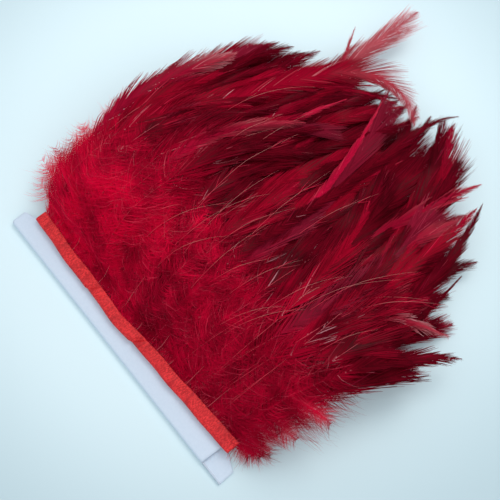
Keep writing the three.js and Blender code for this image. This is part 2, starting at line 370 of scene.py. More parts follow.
# one row of barbs on each side of the shafts. A barb is a narrow strip that leaves the shaft at
# Lean and bends towards the tip by Bend
def barbRowTree():
    habit = barbHabit
    tree, given, leave = newTree("barbRow", "GeometryNodeTree", {
        "Shafts": "Geometry",
        "Spacing": 0.0005,
        "Barb Width": 0.0004,
        "Barb Steps": 3,
        "Density": 1.0,
        "Reach Left": 0.005,
        "Reach Right": 0.005,
        "Lean": 1.0,
        "Bend": -0.5,
        "Ragged": 0.1,
        "Lock": 0.1,
        "Lock Size": 0.004,
        "Curl": 0.0,
        "Curl Size": 0.008,
        "Frizz": 0.0,
        "Fan": 0.0,
        "Droop": 0.0,
        "Twist": 0.3,
        "Seed": 1,
    }, {"Geometry": "Geometry"})
    line = step(tree, "GeometryNodeResampleCurve", {"mode": "LENGTH"},
                Curve=given["Shafts"], Length=given["Spacing"])
    line = keep(tree, line, "run", step(tree, "GeometryNodeInputTangent"), "FLOAT_VECTOR")
    points = step(tree, "GeometryNodeCurveToPoints", {"mode": "EVALUATED"}, Curve=line)
    pair = step(tree, "GeometryNodeDuplicateElements", {"domain": "POINT"}, "Geometry",
                Geometry=points, Amount=2)
    side = Wire(tree, pair.socket.node.outputs["Duplicate Index"]) * 2 - 1
    points = keep(tree, pair, "side", side)

    def chance(shift, low, high):
        return step(tree, "FunctionNodeRandomValue", {"data_type": "FLOAT_VECTOR"}, "Value",
                    Min=low, Max=high, Seed=given["Seed"] + shift)

    points = keep(tree, points, "chance", chance(0, (-1, -1, -1), (1, 1, 1)), "FLOAT_VECTOR")
    points = keep(tree, points, "luck", chance(habit["luckSeed"], (0, 0, 0), (1, 1, 1)), "FLOAT_VECTOR")
    luck = partsOf(tree, named(tree, "luck", "FLOAT_VECTOR"))[0]
    bare = isOver(tree, luck, given["Density"])
    points = step(tree, "GeometryNodeDeleteGeometry", {"domain": "POINT"}, Geometry=points, Selection=bare)

    blade = step(tree, "GeometryNodeMeshGrid", Vertices_X=given["Barb Steps"] + 1, Vertices_Y=2)
    placeX, placeY, _ = partsOf(tree, step(tree, "GeometryNodeInputPosition"))
    blade = keep(tree, blade, "out", placeX + 0.5)
    blade = keep(tree, blade, "edge", placeY)
    rows = step(tree, "GeometryNodeInstanceOnPoints", Points=points, Instance=blade, Scale=(0, 0, 0))
    rows = step(tree, "GeometryNodeRealizeInstances", Geometry=rows)

    # the barb's own course, from attributes that came along with it
    s = named(tree, "out")
    edge = named(tree, "edge")
    side = named(tree, "side")
    run = named(tree, "run", "FLOAT_VECTOR")
    up = named(tree, "up", "FLOAT_VECTOR")
    own = named(tree, "chance", "FLOAT_VECTOR")
    first, second, third = partsOf(tree, own)
    sideways = sumOf(tree, "NORMALIZE", sumOf(tree, "CROSS_PRODUCT", run, up)) * side
    root = step(tree, "GeometryNodeInputPosition")
    rows = step(tree, "GeometryNodeFlipFaces", Mesh=rows, Selection=isOver(tree, side, 0.0))

    lockNoise = noise(tree, root / given["Lock Size"] + side * habit["sideShift"], 1.0, 1.0)
    lock = (lockNoise - 0.5) * given["Lock"] * 2
    lean = given["Lean"] + lock + first * given["Ragged"] * habit["leanSpread"]
    bend = given["Bend"] * (1 + second * habit["bendSpread"])
    reach = mix(given["Reach Left"], given["Reach Right"], side * 0.5 + 0.5) * (1 + third * given["Ragged"])
    tipLean = given["Lean"] + given["Bend"]
    length = reach * given["Bend"] / (given["Lean"].cos() - tipLean.cos())
    now = lean + bend * s
    forward = length * (now.sin() - lean.sin()) / bend
    outward = length * (lean.cos() - now.cos()) / bend
    gone = outward / reach
    rise = gone * gone * given["Droop"] * -1 + outward * second * given["Fan"]
    spot = root + run * forward + sideways * outward + up * rise

    # the strip's own width, turned by Twist
    flat = sideways * now.cos() - run * now.sin()
    turn = given["Twist"] * third * (habit["rootTwist"] + s)
    wideWay = flat * turn.cos() + up * turn.sin()
    width = given["Barb Width"] * (1 - s * s * habit["tipNarrowing"]) * edge
    rows = step(tree, "GeometryNodeSetPosition", Geometry=rows, Position=spot + wideWay * width)

    here = step(tree, "GeometryNodeInputPosition")
    waves = noise(tree, here / given["Curl Size"], 1.0, 2.0, "Color")
    push = (waves - (0.5, 0.5, 0.5)) * 2 + own * habit["curlSpread"]
    rows = step(tree, "GeometryNodeSetPosition", Geometry=rows, Offset=push * (given["Curl"] * s * s))
    kinks = noise(tree, here * (1 / habit["kinkSize"]) + own * habit["kinkSpread"], 1.0, 1.0, "Color")
    rows = step(tree, "GeometryNodeSetPosition", Geometry=rows,
                Offset=(kinks - (0.5, 0.5, 0.5)) * (given["Frizz"] * s))
    plug(tree, leave.inputs["Geometry"], rows)
    return tree


def joined(tree, parts):
    node = tree.nodes.new("GeometryNodeJoinGeometry")
    for part in parts:
        plug(tree, node.inputs["Geometry"], part)
    return Wire(tree, node.outputs["Geometry"])


plumeLimits = {
    "squeeze": 0.7,  # share by which barbs above Soft Top come down
    "lowest": 0.00015,  # metres over the floor
    "shaftStep": 0.004,
    "shaftSides": 3,
}


# a whole feather, or many: the shaft as a thin tube, vane barbs and down barbs
def plumeTree(barbRow):
    tree, given, leave = newTree("plume", "GeometryNodeTree", {
        "Geometry": "Geometry",
        "Vane Spacing": 0.0005,
        "Vane Barb Width": 0.0005,
        "Vane Steps": 2,
        "Down Spacing": 0.0004,
        "Down Barb Width": 0.00016,
        "Down Curl": 0.003,
        "Down Frizz": 0.001,
        "Down Fan": 0.4,
        "Down Steps": 5,
        "Shaft Size": 1.0,
        "Soft Top": 0.026,
        "Seed": 1,
        "Barb Material": "Material",
        "Shaft Material": "Material",
    }, {"Geometry": "Geometry"})
    shafts = step(tree, "GeometryNodeMeshToCurve", Mesh=given["Geometry"])

    def row(**values):
        return step(tree, "GeometryNodeGroup", {"node_tree": barbRow}, "Geometry", Shafts=shafts, **values)

    vane = row(
        Spacing=given["Vane Spacing"], Barb_Width=given["Vane Barb Width"] * named(tree, "barbScale"),
        Barb_Steps=given["Vane Steps"], Density=named(tree, "vaneShare"),
        Reach_Left=named(tree, "vaneLeft"), Reach_Right=named(tree, "vaneRight"),
        Lean=named(tree, "lean"), Bend=-0.11, Ragged=0.14, Lock=named(tree, "lock"), Lock_Size=0.006,
        Curl=named(tree, "loose"), Curl_Size=0.006, Frizz=0.0, Fan=0.02,
        Droop=named(tree, "droop"), Twist=0.22, Seed=given["Seed"])
    down = row(
        Spacing=given["Down Spacing"], Barb_Width=given["Down Barb Width"],
        Barb_Steps=given["Down Steps"], Density=named(tree, "downy"),
        Reach_Left=named(tree, "downLeft"), Reach_Right=named(tree, "downRight"),
        Lean=1.22, Bend=-0.72, Ragged=0.42, Lock=0.5, Lock_Size=0.008,
        Curl=given["Down Curl"], Curl_Size=0.009, Frizz=given["Down Frizz"], Fan=given["Down Fan"],
        Droop=0.0, Twist=1.4, Seed=given["Seed"] + 17)
    barbs = step(tree, "GeometryNodeSetShadeSmooth", Geometry=joined(tree, (down, vane)))

    ring = step(tree, "GeometryNodeCurvePrimitiveCircle", Resolution=plumeLimits["shaftSides"], Radius=1.0)
    line = step(tree, "GeometryNodeResampleCurve", {"mode": "LENGTH"},
                Curve=shafts, Length=plumeLimits["shaftStep"])
    thick = named(tree, "shaftRadius") * given["Shaft Size"]
    lift = named(tree, "up", "FLOAT_VECTOR") * named(tree, "shaftLift")
    line = step(tree, "GeometryNodeSetPosition", Geometry=line, Offset=lift)
    tube = step(tree, "GeometryNodeCurveToMesh", Curve=line, Profile_Curve=ring, Scale=thick, Fill_Caps=True)
    tube = keep(tree, tube, "isShaft", 1.0)

    made = step(tree, "GeometryNodeRealizeInstances", Geometry=joined(tree, (tube, barbs)))
    place = step(tree, "GeometryNodeInputPosition")
    height = partsOf(tree, place)[2]
    over = step(tree, "ShaderNodeCombineXYZ", Z=sumOf(tree, "MAXIMUM", height - given["Soft Top"], 0.0))
    settled = sumOf(tree, "MAXIMUM", place - over * plumeLimits["squeeze"], (-1, -1, plumeLimits["lowest"]))
    made = step(tree, "GeometryNodeSetPosition", Geometry=made, Position=settled)
    made = step(tree, "GeometryNodeSetMaterial", Geometry=made, Material=given["Barb Material"])
    isShaft = isOver(tree, named(tree, "isShaft"), 0.5)
    made = step(tree, "GeometryNodeSetMaterial", Geometry=made, Selection=isShaft,
                Material=given["Shaft Material"])
    plug(tree, leave.inputs["Geometry"], made)
    return tree


def setInputs(modifier, values):
    for item in modifier.node_group.interface.items_tree:
        if item.item_type == "SOCKET" and item.in_out == "INPUT" and item.name in values:
            modifier[item.identifier] = values[item.name]


plumeShape = {
    "downReach": 9.5,  # half widths
    "vaneReach": 4.7,
    "tipReach": 0.22,
    "leastDown": 0.3,
    "tuftShare": 0.62,
    "downStart": 0.02,  # shares of the length
    "downFull": 0.075,
    "downEnd": [(-66, 46), (-40, 58), (-10, 56), (15, 50), (40, 50), (66, 48)],  # by the quill's place
    "downBlend": 13,
    "downEndSpread": 0.13,
    "taperStart": 0.66,
    "taperPower": 1.35,
    "leanRoot": 0.46,  # angle between a shaft and the vane's barbs
    "leanTip": 0.23,
    "loose": (0.5, 3),  # in a neat vane and in a loose one
    "lock": (0.08, 0.3),
    "droop": 0.9,
    "barbTip": 0.3,
    "shaftRoot": 0.3,
    "shaftTip": 0.03,
    "shaftLift": (-0.6, 0.14),  # under the vane, and where it shows
    "bareLift": (1.3, 1.4),  # at the root of a bare shaft, and added up to its tip
}


# where a feather turns from down to vane: 0 in its down, 1 in its vane
def vaneShareAt(feather, t, early=0, wider=0):
    uneven = 1 + plumeShape["downEndSpread"] * vary(feather["index"], 5)
    end = feather.get("downEnd", along(plumeShape["downEnd"], feather["rootX"]) * uneven)
    blend = plumeShape["downBlend"]
    return ease(end - early - blend - wider / 2, end - early + blend + wider / 2, t * feather["length"])


# half widths of the down and the vane at one point of a shaft
def plumeProfile(feather, t, side):
    shape = plumeShape
    wide = feather["wide"]
    wave = 1 + 0.12 * math.sin(t * 37 + feather["index"] * 2.4 + side)
    wave += 0.08 * math.sin(t * 83 + feather["index"] + 2 * side)
    grown = mix(0.45, 1, ease(shape["downStart"], shape["downFull"], t))
    down = shape["downReach"] * grown * mix(1, 0.7, vaneShareAt(feather, t)) * wave * min(1.1, wide)
    if feather.get("isTuft"):
        down *= shape["tuftShare"] * (1 - 0.6 * ease(0.5, 1, t))
    taperStart = feather.get("taperStart", shape["taperStart"])
    taper = clamp((t - taperStart) / (1 - taperStart)) ** shape["taperPower"]
    vane = mix(shape["vaneReach"] * wide * wave, shape["tipReach"], taper)
    return down, vane


# outer line of the pile at the left, as (y, x) at the height given below
leftEdge = [(0, -62), (12, -69), (17, -72), (24, -75), (37, -77), (57, -75.5), (71, -79), (80, -79.5),
            (87, -82), (98, -81), (109, -79), (117, -72), (131, -66), (142, -54), (160, -44), (200, -60)]

# barbs on the left of a shaft near that line are short
leftLimit = {
    "height": 12,
    "leanX": 0.25,  # how far the line moves for each millimetre of height
    "leanY": 0.2,
    "down": 2.4,  # reach of a barb right on the line
    "vane": 2.8,
    "share": 0.8,  # of the room inside it
    "uneven": 0.4,
}


def leftReaches(feather, place, t, down, vane):
    limit = leftLimit
    higher = place.z - limit["height"]
    edge = along(leftEdge, place.y + limit["leanY"] * higher)
    room = max(0, place.x - limit["leanX"] * higher - edge)
    uneven = 1 + limit["uneven"] * math.sin(t * 61 + feather["index"])
    inside = limit["share"] * room
    return min(down, limit["down"] * uneven + inside), min(vane, limit["vane"] * uneven + inside)


def shaftsMesh(name, feathers):
    shape = plumeShape
    points, edges, data = [], [], []
    for feather in feathers:
        looseness = feather.get("looseness", 0)
        for place, up, t in shaftCourse(feather):
            downLeft, vaneLeft = plumeProfile(feather, t, 0)
            downRight, vaneRight = plumeProfile(feather, t, 1)
            if "looseness" not in feather:
                downLeft, vaneLeft = leftReaches(feather, place, t, downLeft, vaneLeft)
            isVane = vaneShareAt(feather, t)
            isShown = isVane * (1 - ease(0.5, 0.72, t)) if feather["own"] < 0.5 else 0
            isDown = (1 - isVane) * ease(shape["downStart"], shape["downStart"] + 0.03, t)
            lift = mix(*shape["shaftLift"], isShown) * ease(0.02, 0.08, t) * (1 - ease(0.8, 1, t))
            bareLift = shape["bareLift"][0] * ease(0.1, 0.4, t) + shape["bareLift"][1] * t
            if points and t > 0:
                edges.append((len(points) - 1, len(points)))
            points.append(place * mm)
            data.append({
                "share": t,
                "vaneness": vaneShareAt(feather, t, 9, 22),
                "downy": isDown * feather.get("downiness", 1),
                "vaneShare": isVane * feather.get("fullness", 1),
                "vaneLeft": vaneLeft * mm,
                "vaneRight": vaneRight * mm,
                "downLeft": max(shape["leastDown"], downLeft) * mm,
                "downRight": max(shape["leastDown"], downRight) * mm,
                "lean": mix(shape["leanRoot"], feather.get("leanTip", shape["leanTip"]), ease(0.3, 0.75, t)),
                "loose": mix(*shape["loose"], looseness) * mm,
                "lock": mix(*shape["lock"], looseness),
                "droop": shape["droop"] * ease(0.15, 0.5, t) * mm,
                "shaftRadius": mix(shape["shaftRoot"], shape["shaftTip"], t ** 0.5) * mm,
                "shaftLift": (lift + feather.get("bare", 0) * bareLift) * mm,
                "barbScale": mix(1, shape["barbTip"], ease(0.72, 1, t)),
                "own": feather["own"],
                "up": up,
            })
    mesh = bpy.data.meshes.new(name)
    mesh.from_pydata(points, edges, [])
    for key in data[0]:
        isVector = key == "up"
        attribute = mesh.attributes.new(key, "FLOAT_VECTOR" if isVector else "FLOAT", "POINT")
        values = np.array([d[key] for d in data], dtype=np.float32).ravel()
        attribute.data.foreach_set("vector" if isVector else "value", values)
    return mesh


# only these stay on the finished mesh, for the materials
keptAttributes = ("share", "vaneness", "out", "luckOne", "own", "position", "sharp_face", "material_index")

softLean = {"barb": 0.3, "down": 0.5}


def pointValues(mesh, name, kind, size):
    values = np.zeros(len(mesh.vertices) * size, np.float32)
    mesh.attributes[name].data.foreach_get(kind, values)
    return values.reshape(-1, size)


# fine barbs catch the light as one soft surface, so their normals lean towards the pile's own
def softNormals(mesh):
    own = np.zeros(len(mesh.vertices) * 3, np.float32)
    mesh.vertex_normals.foreach_get("vector", own)
    own = own.reshape(-1, 3)
    up = pointValues(mesh, "up", "vector", 3)
    isBarb = 1 - pointValues(mesh, "isShaft", "value", 1)
    isDown = 1 - pointValues(mesh, "vaneness", "value", 1)
    lean = isBarb * (softLean["barb"] + softLean["down"] * isDown)
    soft = own * (1 - lean) + up * lean
    return soft / np.linalg.norm(soft, axis=1, keepdims=True)


def growPlumes(name, feathers, values, tree):
    source = addObject(name + "_shafts", shaftsMesh(name + "_shafts", feathers))
    modifier = source.modifiers.new("plume", "NODES")
    modifier.node_group = tree
    setInputs(modifier, values)
    graph = bpy.context.evaluated_depsgraph_get()
    mesh = bpy.data.meshes.new_from_object(source.evaluated_get(graph), depsgraph=graph)
    mesh.name = name
    luck = pointValues(mesh, "luck", "vector", 3)[:, 1].copy()
    mesh.attributes.new("luckOne", "FLOAT", "POINT").data.foreach_set("value", luck)
    soft = softNormals(mesh)
    for attribute in [a.name for a in mesh.attributes]:
        if attribute not in keptAttributes and not attribute.startswith("."):
            found = mesh.attributes.get(attribute)
            if found is not None and not found.is_required:
                mesh.attributes.remove(found)
    mesh.normals_split_custom_set_from_vertices(soft)
    bpy.data.objects.remove(source)
    return addObject(name, mesh)


# finishes

def blendColour(tree, share, a, b, way="MIX"):
    node = tree.nodes.new("ShaderNodeMix")
    node.data_type = "RGBA"
    node.blend_type = way
    plug(tree, node.inputs["Factor"], share)
    plug(tree, node.inputs[6], a)
    plug(tree, node.inputs[7], b)
    return Wire(tree, node.outputs[2])


# the pattern that the dye makes, with its painted shade, highlights and glints: noise scales, and how much of
# each thing shows
dyeAndLightPattern = {
    "patchScale": 55.0,
    "hollowShadeScale": 75.0,
    "glintSpotScale": 90.0,
    "sheenScale": 85.0,
    "tipWander": 0.3,
    "tipFade": 0.24,
    "hollowShadeDepth": 0.34,
    "ownLight": 1.12,  # the lightest feather, and how much darker the darkest is
    "ownDepth": 0.3,
    # painted light falloff: the down is lighter at the left end and darker towards the right end
    "downFalloffShade": 0.46,  # the down is darker towards the right end
    "downFalloffLight": 0.12,
    "strandGlint": 0.5,
    "curlHighlightColour": (1.0, 0.09, 0.16, 1),
    "glint": 0.5,
    "glintColour": (0.7, 0.36, 0.4, 1),
    "rough": 0.62,
    "roughSpread": 0.12,
    "gloss": 0.1,
}


# dye colours of the barbs, with painted shade, highlights, glints and glow
def dyeAndPaintedLightGroup():
    pattern = dyeAndLightPattern
    group, given, leave = newTree("dyedBarbsPaintedLight", "ShaderNodeTree", {
        "Down Colour": (0.4, 0.005, 0.02, 1),
        "Vane Colour": (0.15, 0.003, 0.01, 1),
        "Tip Colour": (0.5, 0.02, 0.05, 1),
        "Edge Colour": (0.6, 0.15, 0.2, 1),
        "Edge Share": 0.2,
        "Barb Spread": 0.35,
        "Patch Depth": 0.5,
        "Edge Start": 0.0,
        "Tip Start": 0.78,
    }, {"Colour": "Color", "Roughness": "Float", "Gloss": "Float"})
    share, out, luck, own, isVane = [
        step(group, "ShaderNodeAttribute", {"attribute_name": name}, "Fac")
        for name in ("share", "out", "luckOne", "own", "vaneness")]
    place = step(group, "ShaderNodeTexCoord", None, "Object")
    placeX = partsOf(group, place)[0]
    isDown = 1 - isVane

    patches = noise(group, place, pattern["patchScale"], 3.0)
    colour = blendColour(group, isVane, given["Down Colour"], given["Vane Colour"])
    # painted glow: the thin tips are paler, standing in for light shining through them
    tipAt = share + (patches - 0.5) * pattern["tipWander"]
    tip = smooth(group, tipAt, given["Tip Start"], given["Tip Start"] + pattern["tipFade"])
    colour = blendColour(group, tip, colour, given["Tip Colour"])

    dark = 1 - given["Barb Spread"] * luck * (isVane * 0.6 + 0.4)
    dark = dark * (1 - given["Patch Depth"] * smooth(group, patches, 0.45, 0.7))
    # painted shade: the down is darker in the hollows between its lobes, placed by noise
    hollowShadeNoise = noise(group, place, pattern["hollowShadeScale"], 1.0)
    dark = dark * (1 - smooth(group, hollowShadeNoise, 0.44, 0.6) * isDown * pattern["hollowShadeDepth"])
    dark = dark * (pattern["ownLight"] - own * pattern["ownDepth"])
    # painted light falloff across the down, from the left end to the right
    falloffRamp = smooth(group, placeX, -0.055, 0.055)
    dark = dark * (1 - falloffRamp * isDown * pattern["downFalloffShade"] + isDown * pattern["downFalloffLight"])
    shade = step(group, "ShaderNodeCombineColor", None, 0, Red=dark, Green=dark, Blue=dark)
    colour = blendColour(group, 1.0, colour, shade, "MULTIPLY")

    # painted highlights and painted glow on pale barb ends and single pale barbs; painted highlights on curls
    # of down; painted glints on small groups of split barbs
    strandGlint = smooth(group, luck, 0.03, 0.0)
    late = smooth(group, share, given["Edge Start"] - 0.1, given["Edge Start"] + 0.1)
    edge = (out ** 3) * given["Edge Share"] * (0.3 + luck) * late + strandGlint * isVane * pattern["strandGlint"]
    colour = blendColour(group, edge, colour, given["Edge Colour"])
    # painted highlights on a few curls of the down
    curlHighlight = smooth(group, luck, 0.91, 0.97) * isDown * (out * 0.5 + 0.15)
    colour = blendColour(group, curlHighlight, colour, pattern["curlHighlightColour"])
    # painted glints: whitish groups of barbs and single barbs in the vanes
    glintSpots = noise(group, place * (1.0, 0.5, 1.0), pattern["glintSpotScale"], 1.0)
    glintClusters = smooth(group, glintSpots, 0.6, 0.66) * smooth(group, luck, 0.13, 0.09)
    glint = (glintClusters + smooth(group, luck, 0.012, 0.008)) * isVane * smooth(group, share, 0.6, 0.45)
    colour = blendColour(group, glint * pattern["glint"], colour, pattern["glintColour"])

    sheen = noise(group, place * (1.0, 0.4, 1.0), pattern["sheenScale"], 1.0)
    gloss = smooth(group, sheen, 0.5, 0.64) * isVane * smooth(group, luck, 0.3, 0.9) * pattern["gloss"]
    rough = pattern["rough"] - isVane * pattern["roughSpread"] + luck * pattern["roughSpread"]
    plug(group, leave.inputs["Colour"], colour)
    plug(group, leave.inputs["Roughness"], rough)
    plug(group, leave.inputs["Gloss"], gloss)
    return group


def newMaterial(name, numbers):
    material = bpy.data.materials.new(name)
    material.use_nodes = True
    shader = material.node_tree.nodes["Principled BSDF"]
    for label, value in numbers.items():
        shader.inputs[label].default_value = value
    return material, material.node_tree, shader


# what a finish has where its own line below says nothing else
plainFinish = {"down": (0.9, 0.0015, 0.05), "edgeShare": 0.3, "spread": 0.4, "patch": 0.2, "edgeStart": 0,
               "tipStart": 0.78, "shaft": (0.5, 0.05, 0.07)}

feathersFinish = {
    "bright": {"down": (0.93, 0.004, 0.05), "vane": (0.32, 0.0006, 0.015), "tip": (0.42, 0.002, 0.026),
               "edge": (0.6, 0.02, 0.06), "edgeShare": 0.15, "spread": 0.6, "patch": 0.3,
               "shaft": (0.6, 0.1, 0.12)},
    "dark": {"down": (0.88, 0.0012, 0.042), "vane": (0.17, 0.0004, 0.009), "tip": (0.17, 0.0008, 0.011),
             "edge": (0.34, 0.01, 0.04), "edgeShare": 0.1, "spread": 0.6, "patch": 0.45,
             "shaft": (0.5, 0.07, 0.09)},
    # painted sheen: these feathers are dark red with a purplish cast painted in as sheen
    "mauve": {"down": (0.85, 0.0015, 0.045), "vane": (0.26, 0.006, 0.026), "tip": (0.28, 0.008, 0.03),
              "edge": (0.45, 0.05, 0.09), "patch": 0.3, "shaft": (0.5, 0.14, 0.16)},
    "pale": {"down": (0.9, 0.002, 0.045), "vane": (0.4, 0.003, 0.028), "tip": (0.58, 0.03, 0.065),
             "edge": (0.75, 0.12, 0.15), "edgeShare": 0.5, "spread": 0.5, "edgeStart": 0.6,
             "shaft": (0.4, 0.03, 0.045)},
    "blush": {"down": (0.9, 0.0015, 0.042), "vane": (0.32, 0.001, 0.018), "tip": (0.6, 0.1, 0.125),
              "edge": (0.95, 0.5, 0.52), "edgeShare": 0.75, "spread": 0.3, "edgeStart": 0.74,
              "tipStart": 0.66},
    "faded": {"down": (0.9, 0.0015, 0.042), "vane": (0.34, 0.001, 0.018), "tip": (0.52, 0.06, 0.085),
              "edge": (0.8, 0.3, 0.33), "edgeShare": 0.5, "edgeStart": 0.8, "tipStart": 0.72},
    "wisp": {"vane": (0.4, 0.004, 0.03), "tip": (0.6, 0.05, 0.08), "edge": (0.9, 0.4, 0.42), "edgeShare": 0.8,
             "edgeStart": 0.72},
    "glow": {"vane": (0.62, 0.004, 0.045), "tip": (0.75, 0.02, 0.07), "edge": (0.8, 0.08, 0.12), "patch": 0.1,
             "shaft": (0.5, 0.03, 0.05)},
    "fringe": {"down": (0.8, 0.02, 0.06), "vane": (0.5, 0.012, 0.04), "tip": (0.8, 0.1, 0.15),
               "edge": (0.95, 0.42, 0.46), "edgeShare": 1.0, "edgeStart": 0.05, "shaft": (0.6, 0.1, 0.12)},
    "quill": {"down": (0.9, 0.002, 0.045), "vane": (0.5, 0.012, 0.04), "tip": (0.5, 0.012, 0.04),
              "edge": (0.8, 0.2, 0.24), "spread": 0.5, "shaft": (0.66, 0.25, 0.22)},
}

dyeAndLightInputs = {"Down Colour": "down", "Vane Colour": "vane", "Tip Colour": "tip", "Edge Colour": "edge",
             "Edge Share": "edgeShare", "Barb Spread": "spread", "Patch Depth": "patch",
             "Edge Start": "edgeStart", "Tip Start": "tipStart"}


def featherMaterials():
    group = dyeAndPaintedLightGroup()
    made = {}
    for tone, own in feathersFinish.items():
        finish = {**plainFinish, **own}
        barb, tree, shader = newMaterial("dyedPaintedLight_" + tone, {
            "Specular IOR Level": 0.012, "Coat Roughness": 0.35})
        node = tree.nodes.new("ShaderNodeGroup")
        node.node_tree = group
        for label, key in dyeAndLightInputs.items():
            value = finish[key]
            node.inputs[label].default_value = (*value, 1) if isinstance(value, tuple) else value
        tree.links.new(node.outputs["Colour"], shader.inputs["Base Color"])
        tree.links.new(node.outputs["Roughness"], shader.inputs["Roughness"])
        tree.links.new(node.outputs["Gloss"], shader.inputs["Coat Weight"])
        shaft, tree, shader = newMaterial("shaft_" + tone, {"Roughness": 0.4, "Specular IOR Level": 0.2})
        share = step(tree, "ShaderNodeAttribute", {"attribute_name": "share"}, "Fac")
        beyond = smooth(tree, share, 0.2, 0.6)
        colour = blendColour(tree, beyond, (0.62, 0.03, 0.06, 1), (*finish["shaft"], 1))
        plug(tree, shader.inputs["Base Color"], colour)
        made[tone] = (barb, shaft)
    return made


# feathers

plume = plumeTree(barbRowTree())
plumeMaterials = featherMaterials()
triangleCounts = []


# one piece of one or more feathers: finish is its dye, tone is not used, node the solid that it replaces
def addPlumes(name, feathers, finish, tone, values, node=None):
    barb, shaft = plumeMaterials[finish]
    piece = growPlumes(name, feathers, {**values, "Barb Material": barb, "Shaft Material": shaft}, plume)
    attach(piece, "root")
    if node:
        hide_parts(node)
    "feather_" + tone
    triangleCounts.append(sum(len(p.vertices) - 2 for p in piece.data.polygons))


strungValues = {
    "Vane Spacing": 0.42 * mm,
    "Vane Barb Width": 0.5 * mm,
    "Down Spacing": 0.2 * mm,
    "Down Barb Width": 0.17 * mm,
    "Down Curl": 3.8 * mm,
    "Down Frizz": 2.6 * mm,
    "Down Fan": 0.42,
    "Down Steps": 4,
}
deepDown = {"Down Spacing": 0.34 * mm, "Down Steps": 3, "Vane Spacing": 0.5 * mm}  # where others cover it
looseTips = {"Vane Steps": 4, "Vane Spacing": 0.3 * mm, "Vane Barb Width": 0.32 * mm}  # long and hooked ones
deepSheets = 3

chooser = random.Random(11)
for feather in strungFeathers():
    feather["own"] = chooser.random()
    values = {**strungValues, "Seed": 100 + feather["index"]}
    if feather["level"] < deepSheets:
        values.update(deepDown)
    if "looseness" in feather:
        values.update(looseTips)
    addPlumes(feather["name"] + "_plume", [feather], feather.get("finish", feather["tone"]), feather["tone"],
              values, feather["name"])
print("strung feathers done, triangles:", sum(triangleCounts))


# feathers between and over the strung ones, by where their quills are and how they lie
overlay = {
    "left": {"count": 26, "rootX": (-65, -25), "start": (-15, -5), "end": (14, 34), "power": (1.6, 2.4),
             "share": (0.5, 0.98), "levels": (3.4, 6), "wide": (0.7, 1), "downiness": 0.8},
    "middle": {"count": 32, "rootX": (-34, 34), "start": (-9, 3), "end": (-8, 18), "power": (1, 1.8),
               "share": (0.5, 0.98), "levels": (3.4, 6), "wide": (0.7, 1), "downiness": 0.8},
    "steep": {"count": 30, "rootX": (8, 58), "start": (4, 16), "end": (-34, -4), "power": (1.2, 2.4),
              "share": (0.75, 1.1), "levels": (4.2, 6.4), "wide": (0.9, 1.2), "downiness": 0},
    "right": {"count": 34, "rootX": (26, 65), "start": (4, 16), "end": (8, 46), "power": (1.2, 2.2),
              "share": (0.65, 1.0), "levels": (3.2, 6.2), "wide": (0.85, 1.2), "downiness": 0.3},
    "cover": {"count": 20, "rootX": (-63, -22), "start": (-14, -6), "end": (20, 42), "power": (1.6, 2.4),
              "share": (0.6, 0.84), "levels": (6.3, 7.3), "wide": (0.7, 1), "downiness": 0.5},
}
overlayTones = {"bright": 0.46, "dark": 0.46, "mauve": 0.06, "pale": 0.02}
overlaySeed = 5
overlayValues = {**strungValues, "Vane Barb Width": 0.48 * mm, "Down Spacing": 0.26 * mm, "Down Curl": 4 * mm,
                 "Down Fan": 0.5}

# where the tips end, as the outer line of the pile seen from above
pileEdge = [(-60, 0), (-66, 12), (-72, 24), (-76, 40), (-76, 58), (-80, 80), (-81, 98), (-76, 108),
            (-70, 118), (-64, 129), (-55, 133), (-46, 142), (-39, 153), (-31, 166), (-10, 167), (3, 168),
            (20, 176), (35, 163), (50, 161), (56, 152), (60, 140), (64, 131), (66, 124), (70, 118),
            (72, 110), (73, 103), (75, 97), (77, 92), (78, 80), (78, 60), (79, 45), (78, 26), (75, 14),
            (66, 0)]


def isInside(x, y):
    inside = False
    for (ax, ay), (bx, by) in zip(pileEdge, pileEdge[1:] + pileEdge[:1]):
        if (ay > y) != (by > y) and x < ax + (bx - ax) * (y - ay) / (by - ay):
            inside = not inside
    return inside


def overlayFeather(dice, place, index):
    rootX = dice.uniform(*place["rootX"])
    feather = {
        **plain,
        "rootX": rootX,
        "level": dice.uniform(*place["levels"]),
        "index": index,
        "length": along(strip["reach"], rootX) * dice.uniform(*place["share"]),
        "start": dice.uniform(*place["start"]),
        "end": dice.uniform(*place["end"]),
        "power": dice.uniform(*place["power"]),
        "wide": dice.uniform(*place["wide"]),
        "own": dice.random(),
        "downiness": place["downiness"],
    }
    while not isInside(*shaftCourse(feather)[-1][0].xy):
        feather["length"] -= 2
    return feather


dice = random.Random(overlaySeed)
index = 200
bunches = {}
for where, place in overlay.items():
    for i in range(place["count"]):
        feather = overlayFeather(dice, place, index)
        tone = dice.choices(list(overlayTones), list(overlayTones.values()))[0]
        bunches.setdefault((where, tone), []).append(feather)
        index += 1
for (where, tone), bunch in bunches.items():
    addPlumes("feathers_%s_%s" % (where, tone), bunch, tone, tone, {**overlayValues, "Seed": 300 + index})
print("feathers over them done, triangles:", sum(triangleCounts))


